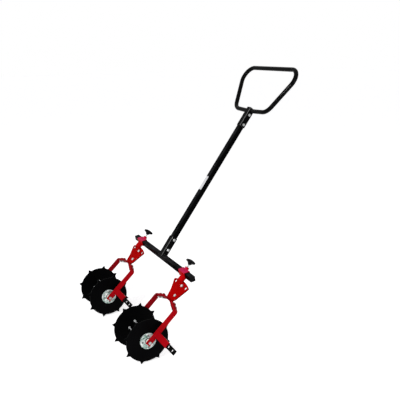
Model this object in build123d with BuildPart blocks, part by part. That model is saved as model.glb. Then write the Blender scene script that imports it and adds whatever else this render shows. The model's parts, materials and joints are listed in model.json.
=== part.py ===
from build123d import *
import os
from math import cos, radians, sin, sqrt, tan

# A hand-pushed rolling weeder: a loop handle on a square pole, a crossbar at its foot, and two
# clamped forks on the crossbar, each with a pair of toothed discs that roll together.
# Millimetres and degrees. The origin is the middle of the crossbar, +X runs along the crossbar,
# +Y points back to the person who pushes, and +Z is up.

# Slopes above the ground, and the turn of the crossbar's section from the pole's section
pole_angle = 54
handle_angle = 57
fork_angle = 43
crossbar_turn = 45

# Square tubes of the pole and the crossbar
pole_width = 27
pole_length = 846
pole_foot_gap = 4
crossbar_width = 25
crossbar_length = 654
tube_wall = 2
tube_inner_corner = 1

# Plugs in the crossbar's ends
cap_thickness = 3
cap_plug_depth = 12
cap_plug_gap = 0.2
cap_round = 1.2

# Square sleeves that join the pole to the crossbar and to the handle
sleeve_clearance = 0.4
sleeve_wall = 2.1
lower_sleeve_length = 110
upper_sleeve_length = 107
upper_sleeve_lip = 2
sleeve_bolt_inset = 11.5
sleeve_bolt_spacing = 57.5

# Handle loop of round tube
handle_tube = 22
handle_wall = 2
handle_join_inset = 15
handle_knee_half = 142
handle_knee_rise = 6
handle_corner_half = 254
handle_reach = 246
handle_bend = 58

# Blank label on the front of the pole
label_width = 22
label_length = 76
label_thickness = 0.4
label_height = 421
label_corner = 1.5

# Hexagon bolts and nuts: sleeve, shoulder and swivel bolts, then hub bolts, then the axle bolt
bolt_diameter = 8
bolt_flats = 13
bolt_head = 5.3
bolt_nut = 6.5
hub_bolt_diameter = 6
hub_bolt_flats = 10
hub_bolt_head = 4
hub_bolt_nut = 5
hub_bolt_tail = 24
axle_bolt_diameter = 8
axle_bolt_flats = 13
axle_bolt_head = 5.3
axle_bolt_nut = 6.5
bolt_tail = 3
hex_chamfer = 0.8
hole_clearance = 0.25
thread_clearance = 0.05
running_clearance = 0.05

# Places of the two fork units, from the ends of the crossbar
left_unit_inset = 65
right_unit_inset = 73

# Clamp around the crossbar, with its nut, screw and wing knob on the upper corner. The clamp is set
# off the fork's middle towards the pole, and the nut a little further.
clamp_length = 60
clamp_shift = 8
clamp_clearance = 0.4
clamp_wall = 2.2
clamp_nut_diameter = 20
clamp_nut_height = 8
clamp_nut_shift = 3
screw_diameter = 8
screw_tip_gap = 0.3
screw_engagement = 18
knob_gap = 13
knob_height = 26
knob_foot_diameter = 11
knob_body_diameter = 28
knob_body_height = 14
knob_wing_span = 50
knob_wing_thickness = 10
knob_wing_tip = 8
knob_wing_root = 12
knob_wing_round = 3

# Stem below the clamp and the sector plate welded to its back. The stem rises from the plate's top
# to the level of the crossbar, which stands in front of the fork.
stem_rise = 31.3
crossbar_lead = 23
stem_diameter = 30
stem_wall = 3
stem_overlap = 8
plate_thickness = 4
plate_gap = 0.4
plate_rise = 75
plate_half = 73
plate_arch = 14
plate_corner = 6
plate_nose = 24
plate_nose_gap = 4.65
plate_heel_reach = 47
plate_heel_drop = 18
spare_hole_half = 50
spare_hole_drop = 20
spare_hole_diameter = 13
pivot_shift = 26
lock_radius = 54
lock_lean = 8
swivel_range = 10

# Swivel plate of the fork, behind the sector plate
swivel_plate_rise = 67
swivel_plate_half = 50
swivel_plate_arch = 45

# Yoke and legs, bent from flat bar
strap_width = 25
strap_thickness = 6
apex_half = 30
leg_half = 98
leg_bend_height = 175
leg_end_margin = 0.5
leg_corner = 2
shoulder_slope = 20
strap_bend = 12
lap_length = 62
yoke_end = 14
lap_bolt_first = 22
lap_bolt_spacing = 24

# Axle and hub
axle_sleeve_diameter = 20
bush_wall = 3
bush_flange = 4
bush_flange_rim = 3
bush_length = 24
bush_gap = 0.02
hub_tube_wall = 3
end_play = 1
flange_diameter = 73
flange_thickness = 4
flange_rim_width = 3
flange_rim_height = 4
flange_rim_round = 1.2
hub_bolt_circle = 55
hub_bolt_count = 4

# Toothed discs
flange_to_leg = 10
disc_thickness = 4
disc_radius = 100
tooth_count = 8
tooth_height = 14
tooth_root = 3
tooth_root_half = 13
tooth_waist = 6
tooth_waist_half = 7
tooth_phase = 28

# Side socket on one leg and the bar that slides in it
socket_height = 48
socket_length = 110
socket_wall = 2.5
side_bar_width = 22
side_bar_thickness = 3
side_bar_clearance = 0.4
left_bar_start = 35
right_bar_start = 9
side_bar_length = 172
side_bar_hole_diameter = 10
side_bar_hole_pitch = 35
side_bar_hole_count = 5
side_bar_hole_inset = 25
side_bar_corner = 2

# Sizes that follow from the ones above
tube_corner = tube_inner_corner + tube_wall
pole_bore = pole_width - 2 * tube_wall
crossbar_bore = crossbar_width - 2 * tube_wall
crossbar_half_diagonal = crossbar_width / sqrt(2)
cap_plug_width = crossbar_bore - 2 * cap_plug_gap
pole_foot = crossbar_half_diagonal + pole_foot_gap
pole_head = pole_foot + pole_length
sleeve_bore = pole_width + 2 * sleeve_clearance
sleeve_width = sleeve_bore + 2 * sleeve_wall
sleeve_corner = tube_inner_corner + sleeve_wall
upper_sleeve_head = pole_head + upper_sleeve_lip
upper_sleeve_foot = upper_sleeve_head - upper_sleeve_length
lower_bolt_high = lower_sleeve_length - sleeve_bolt_inset
upper_bolt_low = upper_sleeve_foot + sleeve_bolt_inset
sleeve_bolt_heights = (
    lower_bolt_high - sleeve_bolt_spacing,
    lower_bolt_high,
    upper_bolt_low,
    upper_bolt_low + sleeve_bolt_spacing,
)
bolt_hole = bolt_diameter / 2 + hole_clearance
hub_bolt_hole = hub_bolt_diameter / 2 + hole_clearance
axle_hole = axle_bolt_diameter / 2 + hole_clearance

clamp_bore = crossbar_width + 2 * clamp_clearance
clamp_width = clamp_bore + 2 * clamp_wall
clamp_corner = tube_inner_corner + clamp_wall
clamp_nut_top = clamp_width / sqrt(2) + clamp_nut_height
screw_hole = screw_diameter / 2 + running_clearance
screw_tip = crossbar_half_diagonal - tube_corner * (sqrt(2) - 1) + screw_tip_gap
knob_foot = clamp_nut_top + knob_gap
knob_top = knob_foot + knob_height

left_unit_x = left_unit_inset - crossbar_length / 2
right_unit_x = crossbar_length / 2 - right_unit_inset

slope_cos = cos(radians(shoulder_slope))
slope_sin = sin(radians(shoulder_slope))
leg_end = strap_width / 2 + leg_end_margin
leg_inner = leg_half - strap_thickness / 2
leg_outer = leg_half + strap_thickness / 2
lap_end_x = leg_half - lap_length * slope_cos
lap_end_t = leg_bend_height + lap_length * slope_sin
yoke_bend_x = leg_half - strap_thickness * slope_sin
yoke_bend_t = leg_bend_height - strap_thickness * slope_cos
yoke_end_x = yoke_bend_x - yoke_end * slope_cos
yoke_end_t = yoke_bend_t + yoke_end * slope_sin
apex_height = yoke_bend_t + (yoke_bend_x - apex_half) * tan(radians(shoulder_slope))
apex_top = apex_height + strap_thickness / 2
lap_bolt_places = ((lap_bolt_first, 0), (lap_bolt_first + lap_bolt_spacing, 0))

pivot_height = apex_top + plate_nose_gap + plate_nose
lock_shift = pivot_shift - lock_radius * sin(radians(lock_lean))
lock_height = pivot_height + lock_radius * cos(radians(lock_lean))
heel_shift = pivot_shift - plate_heel_reach + plate_corner
heel_height = pivot_height - plate_heel_drop + plate_corner
plate_top = pivot_height + plate_rise
plate_back = plate_gap / 2
plate_front = plate_back + plate_thickness
swivel_plate_top = pivot_height + swivel_plate_rise
swivel_plate_back = plate_gap / 2 + plate_thickness
swivel_bolt_seat = plate_front + plate_gap
stem_radius = stem_diameter / 2
stem_foot = plate_top - stem_overlap
fork_length = plate_top + stem_rise

axle_sleeve_radius = axle_sleeve_diameter / 2
bush_bore = axle_sleeve_radius + running_clearance
bush_radius = bush_bore + bush_wall
hub_tube_bore = bush_radius + bush_gap
hub_tube_radius = hub_tube_bore + hub_tube_wall
hub_half = leg_inner - end_play - bush_flange
flange_radius = flange_diameter / 2
flange_rim_face = leg_inner - flange_to_leg
flange_face = flange_rim_face - flange_rim_height
disc_outer_face = flange_face - flange_thickness
disc_offset = disc_outer_face - disc_thickness / 2
disc_inner_face = disc_outer_face - disc_thickness
disc_bore = hub_tube_radius + hole_clearance

socket_bore_width = side_bar_width + 2 * side_bar_clearance
socket_bore_depth = side_bar_thickness + 2 * side_bar_clearance
socket_width = socket_bore_width + 2 * socket_wall
socket_depth = socket_bore_depth + 2 * socket_wall

# Working planes: pole_face has x across, y up the pole and z to the front; across_pole cuts the
# pole square; pole_side looks along the crossbar; bar_section cuts the crossbar square.
pole_direction = (0, cos(radians(pole_angle)), sin(radians(pole_angle)))
pole_front = (0, -sin(radians(pole_angle)), cos(radians(pole_angle)))
handle_front = (0, -sin(radians(handle_angle)), cos(radians(handle_angle)))
fork_front = (0, -sin(radians(fork_angle)), cos(radians(fork_angle)))
section_angle = radians(pole_angle + crossbar_turn)
pole_face = Plane(origin=(0, 0, 0), x_dir=(1, 0, 0), z_dir=pole_front)
across_pole = Plane(origin=(0, 0, 0), x_dir=(1, 0, 0), z_dir=pole_direction)
pole_side = Plane(origin=(0, 0, 0), x_dir=pole_direction, z_dir=(1, 0, 0))
bar_section = Plane(origin=(0, 0, 0), x_dir=(0, cos(section_angle), sin(section_angle)), z_dir=(1, 0, 0))
along_fork = Plane(origin=(0, 0, 0), x_dir=(1, 0, 0), z_dir=fork_front)

os.makedirs("parts", exist_ok=True)


def hex_bolt(diameter, flats, head, length):
    """Hexagon-head bolt with its seat on the local XY plane and its shank below."""
    with BuildPart() as bolt:
        with BuildSketch():
            RegularPolygon(flats / 2, 6, major_radius=False)
        extrude(amount=head)
        chamfer(bolt.faces().sort_by(Axis.Z)[-1].edges(), hex_chamfer)
        with BuildSketch():
            Circle(diameter / 2)
        extrude(amount=-length)
    return bolt.part


def hex_nut(diameter, flats, height):
    """Hexagon nut that stands on the local XY plane."""
    with BuildPart() as nut:
        with BuildSketch():
            RegularPolygon(flats / 2, 6, major_radius=False)
        extrude(amount=height)
        chamfer(nut.faces().sort_by(Axis.Z)[-1].edges(), hex_chamfer)
        with BuildSketch():
            Circle(diameter / 2 + thread_clearance)
        extrude(amount=height, mode=Mode.SUBTRACT)
    return nut.part


# Crossbar: a square tube that carries both forks
with BuildPart() as crossbar:
    with BuildSketch(bar_section.offset(-crossbar_length / 2)):
        RectangleRounded(crossbar_width, crossbar_width, tube_corner)
        RectangleRounded(crossbar_bore, crossbar_bore, tube_inner_corner, mode=Mode.SUBTRACT)
    extrude(amount=crossbar_length)
crossbar.part.label = "crossbar"
export_step(crossbar.part, "parts/crossbar.step")

# Plastic plugs that close both ends of the crossbar
with BuildPart() as bar_end_caps:
    with BuildSketch(bar_section.offset(crossbar_length / 2)):
        RectangleRounded(crossbar_width, crossbar_width, tube_corner)
    extrude(amount=cap_thickness)
    fillet(bar_end_caps.faces().sort_by(Axis.X)[-1].edges(), cap_round)
    with BuildSketch(bar_section.offset(crossbar_length / 2)):
        RectangleRounded(cap_plug_width, cap_plug_width, tube_inner_corner)
    extrude(amount=-cap_plug_depth)
    mirror(about=Plane.YZ)
bar_end_caps.part.label = "bar_end_caps"
export_step(bar_end_caps.part, "parts/bar_end_caps.step")

# Lower sleeve: notched to sit on the crossbar's upper corner, where it is welded
with BuildPart() as lower_sleeve:
    with BuildSketch(across_pole):
        RectangleRounded(sleeve_width, sleeve_width, sleeve_corner)
        RectangleRounded(sleeve_bore, sleeve_bore, tube_inner_corner, mode=Mode.SUBTRACT)
    extrude(amount=lower_sleeve_length)
    with BuildSketch(bar_section):
        RectangleRounded(crossbar_width, crossbar_width, tube_corner)
    extrude(amount=sleeve_width, both=True, mode=Mode.SUBTRACT)
    with BuildSketch(pole_side):
        with Locations(*[(height, 0) for height in sleeve_bolt_heights]):
            Circle(bolt_hole)
    extrude(amount=sleeve_width, both=True, mode=Mode.SUBTRACT)
lower_sleeve.part.label = "lower_sleeve"
export_step(lower_sleeve.part, "parts/lower_sleeve.step")

# Pole: a square tube held in both sleeves by cross bolts
with BuildPart() as pole:
    with BuildSketch(across_pole.offset(pole_foot)):
        RectangleRounded(pole_width, pole_width, tube_corner)
        RectangleRounded(pole_bore, pole_bore, tube_inner_corner, mode=Mode.SUBTRACT)
    extrude(amount=pole_length)
    with BuildSketch(pole_side):
        with Locations(*[(height, 0) for height in sleeve_bolt_heights]):
            Circle(bolt_hole)
    extrude(amount=pole_width, both=True, mode=Mode.SUBTRACT)
pole.part.label = "pole"
export_step(pole.part, "parts/pole.step")

# Blank label stuck to the front of the pole
with BuildPart() as blank_label:
    with BuildSketch(pole_face.offset(pole_width / 2)):
        with Locations((0, label_height)):
            RectangleRounded(label_width, label_length, label_corner)
    extrude(amount=label_thickness)
blank_label.part.label = "blank_label"
export_step(blank_label.part, "parts/blank_label.step")

# Upper sleeve: takes the pole's head and carries the handle on its sides
with BuildPart() as upper_sleeve:
    with BuildSketch(across_pole.offset(upper_sleeve_foot)):
        RectangleRounded(sleeve_width, sleeve_width, sleeve_corner)
        RectangleRounded(sleeve_bore, sleeve_bore, tube_inner_corner, mode=Mode.SUBTRACT)
    extrude(amount=upper_sleeve_length)
    with BuildSketch(pole_side):
        with Locations(*[(height, 0) for height in sleeve_bolt_heights]):
            Circle(bolt_hole)
    extrude(amount=sleeve_width, both=True, mode=Mode.SUBTRACT)
upper_sleeve.part.label = "upper_sleeve"
export_step(upper_sleeve.part, "parts/upper_sleeve.step")

# Handle loop: one bent tube, a little steeper than the pole, whose two ends are welded to the sides
# of the upper sleeve
handle_join = pole_face.from_local_coords((0, upper_sleeve_head - handle_join_inset, 0))
handle_face = Plane(origin=handle_join, x_dir=(1, 0, 0), z_dir=handle_front)
handle_points = (
    (sleeve_width / 4, 0),
    (handle_knee_half, handle_knee_rise),
    (handle_corner_half, handle_reach),
    (-handle_corner_half, handle_reach),
    (-handle_knee_half, handle_knee_rise),
    (-sleeve_width / 4, 0),
)
with BuildPart() as handle_loop:
    with BuildLine(handle_face) as handle_path:
        FilletPolyline(*handle_points, radius=handle_bend)
    with BuildSketch(Plane(origin=handle_path.line @ 0, z_dir=handle_path.line % 0)):
        Circle(handle_tube / 2)
        Circle(handle_tube / 2 - handle_wall, mode=Mode.SUBTRACT)
    sweep(path=handle_path.line)
    with BuildSketch(across_pole.offset(upper_sleeve_foot)):
        RectangleRounded(sleeve_width, sleeve_width, sleeve_corner)
    extrude(amount=upper_sleeve_length, mode=Mode.SUBTRACT)
handle_loop.part.label = "handle_loop"
export_step(handle_loop.part, "parts/handle_loop.step")

# Cross bolts and nuts of both sleeves
sleeve_bolt = hex_bolt(bolt_diameter, bolt_flats, bolt_head, sleeve_width + bolt_nut + bolt_tail)
bolt_nut_solid = hex_nut(bolt_diameter, bolt_flats, bolt_nut)
with BuildPart() as sleeve_bolts:
    with Locations(pole_side.offset(sleeve_width / 2)):
        with Locations(*[(height, 0) for height in sleeve_bolt_heights]):
            add(sleeve_bolt)
sleeve_bolts.part.label = "sleeve_bolts"
export_step(sleeve_bolts.part, "parts/sleeve_bolts.step")

far_pole_side = Plane(origin=(-sleeve_width / 2, 0, 0), x_dir=pole_direction, z_dir=(-1, 0, 0))
with BuildPart() as sleeve_nuts:
    with Locations(far_pole_side):
        with Locations(*[(height, 0) for height in sleeve_bolt_heights]):
            add(bolt_nut_solid)
sleeve_nuts.part.label = "sleeve_nuts"
export_step(sleeve_nuts.part, "parts/sleeve_nuts.step")

# Fasteners that both fork units use
lap_bolt = hex_bolt(bolt_diameter, bolt_flats, bolt_head, 2 * strap_thickness + bolt_nut + bolt_tail)
swivel_bolt_length = swivel_bolt_seat + swivel_plate_back + bolt_nut + bolt_tail
swivel_bolt = hex_bolt(bolt_diameter, bolt_flats, bolt_head, swivel_bolt_length)
axle_bolt_length = 2 * leg_outer + axle_bolt_nut + bolt_tail
axle_bolt_solid = hex_bolt(axle_bolt_diameter, axle_bolt_flats, axle_bolt_head, axle_bolt_length)
axle_nut_solid = hex_nut(axle_bolt_diameter, axle_bolt_flats, axle_bolt_nut)
hub_bolt_length = flange_thickness + disc_thickness + hub_bolt_nut + hub_bolt_tail
hub_bolt_solid = hex_bolt(hub_bolt_diameter, hub_bolt_flats, hub_bolt_head, hub_bolt_length)
hub_nut_solid = hex_nut(hub_bolt_diameter, hub_bolt_flats, hub_bolt_nut)

# Centre line of the lock bolt's curved slot, in the fork plane
lock_path = CenterArc(
    (pivot_shift, pivot_height), lock_radius, 90 + lock_lean - swivel_range, 2 * swivel_range
)

# The two fork units are alike, apart from their clamps, which are mirrored. The fork plane has its
# origin on the axle, x along the axle, y up the fork and z to the front; the roller plane cuts the
# axle square.
units = (
    ("left", left_unit_x, 1, left_bar_start),
    ("right", right_unit_x, -1, right_bar_start),
)
for side, unit_x, to_pole, bar_start in units:
    axle_point = along_fork.from_local_coords((unit_x, -fork_length, -crossbar_lead))
    fork = Plane(origin=axle_point, x_dir=(1, 0, 0), z_dir=fork_front)
    roller = Plane(origin=axle_point, x_dir=(0, 1, 0), z_dir=(1, 0, 0))
    axle_axis = Axis(axle_point, (1, 0, 0))
    clamp_x = unit_x + to_pole * clamp_shift
    screw_x = clamp_x + to_pole * clamp_nut_shift
    clamp_start = bar_section.offset(clamp_x - clamp_length / 2)
    screw_plane = Plane(origin=(screw_x, 0, 0), x_dir=(1, 0, 0), z_dir=pole_direction)

    # Clamp sleeve: a short square tube that slides along the crossbar
    with BuildPart() as clamp_sleeve:
        with BuildSketch(clamp_start):
            RectangleRounded(clamp_width, clamp_width, clamp_corner)
            RectangleRounded(clamp_bore, clamp_bore, tube_inner_corner, mode=Mode.SUBTRACT)
        extrude(amount=clamp_length)
        with BuildSketch(screw_plane):
            Circle(screw_hole)
        extrude(amount=clamp_width, mode=Mode.SUBTRACT)
    clamp_sleeve.part.label = f"{side}_clamp_sleeve"
    export_step(clamp_sleeve.part, f"parts/{side}_clamp_sleeve.step")

    # Clamp nut: a round threaded boss welded on the sleeve's upper corner
    with BuildPart() as clamp_nut:
        with BuildSketch(screw_plane):
            Circle(clamp_nut_diameter / 2)
            Circle(screw_hole, mode=Mode.SUBTRACT)
        extrude(amount=clamp_nut_top)
        with BuildSketch(clamp_start):
            RectangleRounded(clamp_width, clamp_width, clamp_corner)
        extrude(amount=clamp_length, mode=Mode.SUBTRACT)
    clamp_nut.part.label = f"{side}_clamp_nut"
    export_step(clamp_nut.part, f"parts/{side}_clamp_nut.step")

    # Clamp screw: a stud whose tip presses on the crossbar's corner
    with BuildPart() as clamp_screw:
        with BuildSketch(screw_plane.offset(screw_tip)):
            Circle(screw_diameter / 2)
        extrude(amount=knob_foot + screw_engagement - screw_tip)
    clamp_screw.part.label = f"{side}_clamp_screw"
    export_step(clamp_screw.part, f"parts/{side}_clamp_screw.step")

    # Wing knob: a moulded head with a tapered body and two wings
    knob_side = Plane(origin=screw_plane.origin, x_dir=pole_front, z_dir=(-1, 0, 0))
    with BuildPart() as wing_knob:
        with BuildSketch(screw_plane.offset(knob_foot)):
            Circle(knob_foot_diameter / 2)
        with BuildSketch(screw_plane.offset(knob_foot + knob_body_height)):
            Circle(knob_body_diameter / 2)
        loft()
        body_shoulder = wing_knob.faces().sort_by(Axis(screw_plane.origin, pole_direction))[-1]
        extrude(body_shoulder, amount=knob_height - knob_body_height)
        with BuildSketch(knob_side) as wings:
            with BuildLine():
                Polyline(
                    (-knob_body_diameter / 2, knob_top - knob_wing_root),
                    (knob_body_diameter / 2, knob_top - knob_wing_root),
                    (knob_wing_span / 2, knob_top - knob_wing_tip),
                    (knob_wing_span / 2, knob_top),
                    (-knob_wing_span / 2, knob_top),
                    (-knob_wing_span / 2, knob_top - knob_wing_tip),
                    close=True,
                )
            make_face()
            fillet(wings.vertices().group_by(Axis.X)[0], knob_wing_round)
            fillet(wings.vertices().group_by(Axis.X)[-1], knob_wing_round)
        extrude(amount=knob_wing_thickness / 2, both=True)
        with BuildSketch(screw_plane.offset(knob_foot)):
            Circle(screw_hole)
        extrude(amount=screw_engagement + running_clearance, mode=Mode.SUBTRACT)
    wing_knob.part.label = f"{side}_wing_knob"
    export_step(wing_knob.part, f"parts/{side}_wing_knob.step")

    # Stem: a round tube, coped to the clamp sleeve's lower corner
    stem_start = Plane(
        origin=fork.from_local_coords((0, stem_foot, plate_front + stem_radius)),
        x_dir=(1, 0, 0),
        z_dir=fork.y_dir,
    )
    with BuildPart() as stem:
        with BuildSketch(stem_start):
            Circle(stem_radius)
            Circle(stem_radius - stem_wall, mode=Mode.SUBTRACT)
        extrude(amount=fork_length - stem_foot)
        with BuildSketch(clamp_start):
            RectangleRounded(clamp_width, clamp_width, clamp_corner)
        extrude(amount=clamp_length, mode=Mode.SUBTRACT)
    stem.part.label = f"{side}_stem"
    export_step(stem.part, f"parts/{side}_stem.step")

    # Sector plate: welded to the stem, with the pivot hole, the curved lock slot and spare holes
    with BuildPart() as sector_plate:
        with BuildSketch(fork.offset(plate_back)) as sector_outline:
            with BuildLine():
                ThreePointArc(
                    (-plate_half, plate_top - plate_arch),
                    (0, plate_top),
                    (plate_half, plate_top - plate_arch),
                )
                CenterArc((pivot_shift, pivot_height), plate_nose, 0, 360)
                CenterArc((heel_shift, heel_height), plate_corner, 0, 360)
            make_hull()
            fillet(sector_outline.vertices().sort_by(Axis.Y)[-2:], plate_corner)
            with Locations((pivot_shift, pivot_height)):
                Circle(bolt_diameter / 2 + running_clearance, mode=Mode.SUBTRACT)
            with Locations(
                (-spare_hole_half, plate_top - spare_hole_drop),
                (spare_hole_half, plate_top - spare_hole_drop),
            ):
                Circle(spare_hole_diameter / 2, mode=Mode.SUBTRACT)
            SlotArc(lock_path, 2 * bolt_hole, mode=Mode.SUBTRACT)
        extrude(amount=plate_thickness)
    sector_plate.part.label = f"{side}_sector_plate"
    export_step(sector_plate.part, f"parts/{side}_sector_plate.step")

    # Swivel plate: stands on the yoke, behind the sector plate
    with BuildPart() as swivel_plate:
        with BuildSketch(fork.offset(-swivel_plate_back)):
            with BuildLine():
                Polyline(
                    (-swivel_plate_half, swivel_plate_top - swivel_plate_arch),
                    (-apex_half, apex_top),
                    (apex_half, apex_top),
                    (swivel_plate_half, swivel_plate_top - swivel_plate_arch),
                )
                ThreePointArc(
                    (swivel_plate_half, swivel_plate_top - swivel_plate_arch),
                    (0, swivel_plate_top),
                    (-swivel_plate_half, swivel_plate_top - swivel_plate_arch),
                )
            make_face()
            with Locations((pivot_shift, pivot_height), (lock_shift, lock_height)):
                Circle(bolt_hole, mode=Mode.SUBTRACT)
        extrude(amount=plate_thickness)
    swivel_plate.part.label = f"{side}_swivel_plate"
    export_step(swivel_plate.part, f"parts/{side}_swivel_plate.step")

    # Yoke: flat bar bent to a low arch, under the laps of both legs
    shoulders = [
        Plane(
            origin=fork.from_local_coords((hand * leg_half, leg_bend_height, 0)),
            x_dir=fork.y_dir * slope_sin - fork.x_dir * (hand * slope_cos),
            z_dir=fork.x_dir * (hand * slope_sin) + fork.y_dir * slope_cos,
        )
        for hand in (1, -1)
    ]
    with BuildPart() as yoke:
        with BuildSketch(fork):
            with BuildLine():
                FilletPolyline(
                    (-yoke_end_x, yoke_end_t),
                    (-apex_half, apex_height),
                    (apex_half, apex_height),
                    (yoke_end_x, yoke_end_t),
                    radius=strap_bend,
                )
            trace(line_width=strap_thickness)
        extrude(amount=strap_width / 2, both=True)
        for shoulder in shoulders:
            with BuildSketch(shoulder):
                with Locations(*lap_bolt_places):
                    Circle(bolt_hole)
            extrude(amount=2 * strap_thickness, both=True, mode=Mode.SUBTRACT)
    yoke.part.label = f"{side}_yoke"
    export_step(yoke.part, f"parts/{side}_yoke.step")

    # Legs: flat bars bent over the yoke's shoulders, sawn square below the axle
    for leg_name, hand, shoulder in (("socket_leg", 1, shoulders[0]), ("plain_leg", -1, shoulders[1])):
        with BuildPart() as leg:
            with BuildSketch(fork):
                with BuildLine():
                    FilletPolyline(
                        (hand * lap_end_x, lap_end_t),
                        (hand * leg_half, leg_bend_height),
                        (hand * leg_half, -leg_end),
                        radius=strap_bend,
                    )
                trace(line_width=strap_thickness)
            extrude(amount=strap_width / 2, both=True)
            fillet(leg.edges().filter_by(Axis.X), leg_corner)
            with BuildSketch(shoulder):
                with Locations(*lap_bolt_places):
                    Circle(bolt_hole)
            extrude(amount=2 * strap_thickness, both=True, mode=Mode.SUBTRACT)
            with BuildSketch(roller):
                Circle(axle_hole)
            extrude(amount=2 * leg_outer, both=True, mode=Mode.SUBTRACT)
        leg.part.label = f"{side}_{leg_name}"
        export_step(leg.part, f"parts/{side}_{leg_name}.step")

    # Bolts of the leg laps, put in from below
    with BuildPart() as leg_bolts:
        for shoulder in shoulders:
            under_yoke = Plane(
                origin=shoulder.offset(-1.5 * strap_thickness).origin,
                x_dir=shoulder.x_dir,
                z_dir=-shoulder.z_dir,
            )
            with Locations(under_yoke):
                with Locations(*lap_bolt_places):
                    add(lap_bolt)
    leg_bolts.part.label = f"{side}_leg_bolts"
    export_step(leg_bolts.part, f"parts/{side}_leg_bolts.step")

    # Pivot bolt and lock bolt of the two plates, put in from the front
    with BuildPart() as swivel_bolts:
        with Locations(fork.offset(swivel_bolt_seat)):
            with Locations((pivot_shift, pivot_height), (lock_shift, lock_height)):
                add(swivel_bolt)
    swivel_bolts.part.label = f"{side}_swivel_bolts"
    export_step(swivel_bolts.part, f"parts/{side}_swivel_bolts.step")

    # Nuts of the leg laps and of the two swivel bolts
    behind_plates = Plane(
        origin=fork.offset(-swivel_plate_back).origin,
        x_dir=(-1, 0, 0),
        z_dir=-fork.z_dir,
    )
    with BuildPart() as fork_nuts:
        for shoulder in shoulders:
            with Locations(shoulder.offset(strap_thickness / 2)):
                with Locations(*lap_bolt_places):
                    add(bolt_nut_solid)
        with Locations(behind_plates):
            with Locations((-pivot_shift, pivot_height), (-lock_shift, lock_height)):
                add(bolt_nut_solid)
    fork_nuts.part.label = f"{side}_fork_nuts"
    export_step(fork_nuts.part, f"parts/{side}_fork_nuts.step")

    # Axle bolt, its nut, and the sleeve that it clamps between the legs
    with BuildPart() as axle_bolt:
        with Locations(roller.offset(leg_outer)):
            add(axle_bolt_solid)
    axle_bolt.part.label = f"{side}_axle_bolt"
    export_step(axle_bolt.part, f"parts/{side}_axle_bolt.step")

    plain_leg_face = Plane(origin=roller.offset(-leg_outer).origin, x_dir=(0, 1, 0), z_dir=(-1, 0, 0))
    with BuildPart() as axle_nut:
        with Locations(plain_leg_face):
            add(axle_nut_solid)
    axle_nut.part.label = f"{side}_axle_nut"
    export_step(axle_nut.part, f"parts/{side}_axle_nut.step")

    with BuildPart() as axle_sleeve:
        with BuildSketch(roller):
            Circle(axle_sleeve_radius)
            Circle(axle_hole, mode=Mode.SUBTRACT)
        extrude(amount=leg_inner, both=True)
    axle_sleeve.part.label = f"{side}_axle_sleeve"
    export_step(axle_sleeve.part, f"parts/{side}_axle_sleeve.step")

    # Bushes that run on the axle sleeve, pressed into the ends of the hub tube
    with BuildPart() as bushes:
        with BuildSketch(roller.offset(hub_half)):
            Circle(bush_radius + bush_flange_rim)
            Circle(bush_bore, mode=Mode.SUBTRACT)
        extrude(amount=bush_flange)
        with BuildSketch(roller.offset(hub_half)):
            Circle(bush_radius)
            Circle(bush_bore, mode=Mode.SUBTRACT)
        extrude(amount=-bush_length)
        mirror(about=roller)
    bushes.part.label = f"{side}_bushes"
    export_step(bushes.part, f"parts/{side}_bushes.step")

    # Hub tube: carries both discs and rolls as one with them
    with BuildPart() as hub_tube:
        with BuildSketch(roller):
            Circle(hub_tube_radius)
            Circle(hub_tube_bore, mode=Mode.SUBTRACT)
        extrude(amount=hub_half, both=True)
    hub_tube.part.label = f"{side}_hub_tube"
    export_step(hub_tube.part, f"parts/{side}_hub_tube.step")

    # Hub flanges: round plates with a raised rim, welded to the hub tube outside each disc
    with BuildPart() as hub_flanges:
        with BuildSketch(fork):
            with BuildLine():
                Polyline(
                    (disc_outer_face, hub_tube_radius),
                    (disc_outer_face, flange_radius),
                    (flange_rim_face, flange_radius),
                    (flange_rim_face, flange_radius - flange_rim_width),
                    (flange_face, flange_radius - flange_rim_width),
                    (flange_face, hub_tube_radius),
                    close=True,
                )
            make_face()
        revolve(axis=axle_axis)
        rim_edges = hub_flanges.edges().filter_by(GeomType.CIRCLE).group_by(Axis.X)[-1]
        fillet(rim_edges, flange_rim_round)
        with BuildSketch(roller.offset(disc_outer_face)):
            with PolarLocations(hub_bolt_circle / 2, hub_bolt_count):
                Circle(hub_bolt_hole)
        extrude(amount=flange_thickness, mode=Mode.SUBTRACT)
        mirror(about=roller)
    hub_flanges.part.label = f"{side}_hub_flanges"
    export_step(hub_flanges.part, f"parts/{side}_hub_flanges.step")

    # Toothed discs, cut from plate
    for disc_name, hand in (("disc_socket_side", 1), ("disc_plain_side", -1)):
        with BuildPart() as disc:
            with BuildSketch(roller.offset(hand * disc_offset - disc_thickness / 2)):
                Circle(disc_radius)
                with PolarLocations(disc_radius - tooth_root, tooth_count, start_angle=tooth_phase):
                    Polygon(
                        (0, -tooth_root_half),
                        (tooth_waist, -tooth_waist_half),
                        (tooth_root + tooth_height, 0),
                        (tooth_waist, tooth_waist_half),
                        (0, tooth_root_half),
                        align=None,
                    )
                Circle(disc_bore, mode=Mode.SUBTRACT)
                with PolarLocations(hub_bolt_circle / 2, hub_bolt_count):
                    Circle(hub_bolt_hole, mode=Mode.SUBTRACT)
            extrude(amount=disc_thickness)
        disc.part.label = f"{side}_{disc_name}"
        export_step(disc.part, f"parts/{side}_{disc_name}.step")

    # Hub bolts and their nuts, with long tails between the discs
    with BuildPart() as hub_bolts:
        with Locations(roller.offset(flange_face)):
            with PolarLocations(hub_bolt_circle / 2, hub_bolt_count):
                add(hub_bolt_solid)
        mirror(about=roller)
    hub_bolts.part.label = f"{side}_hub_bolts"
    export_step(hub_bolts.part, f"parts/{side}_hub_bolts.step")

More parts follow.
